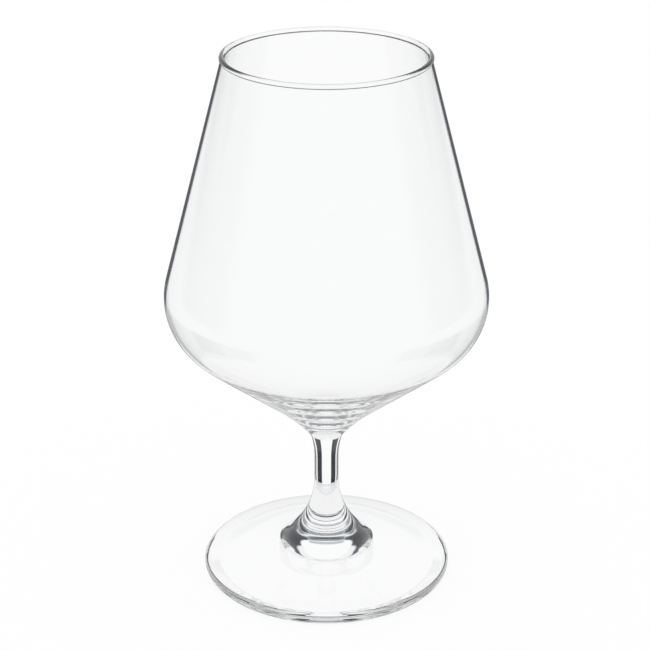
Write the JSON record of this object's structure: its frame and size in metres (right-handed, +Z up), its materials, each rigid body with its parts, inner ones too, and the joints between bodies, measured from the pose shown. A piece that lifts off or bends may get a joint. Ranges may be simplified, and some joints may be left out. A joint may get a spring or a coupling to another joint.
{
  "type": "brandy snifter",
  "caption": "Clear stemmed drinking glass with a wide round bowl that narrows to a beaded rim, a short drawn stem and a flat round foot.",
  "frame": {"origin": "on the axis of the glass, on the plane that the foot stands on", "axes": "+Z up along the axis, from the foot to the rim; the glass is round, so +X and +Y are free"},
  "size_m": [0.0908, 0.0908, 0.155],
  "materials": {
    "clear_glass": "fire-polished clear colourless glass"
  },
  "bodies": {
    "root": {"bowl": "clear_glass", "stem": "clear_glass", "foot": "clear_glass"}
  },
  "joints": []
}
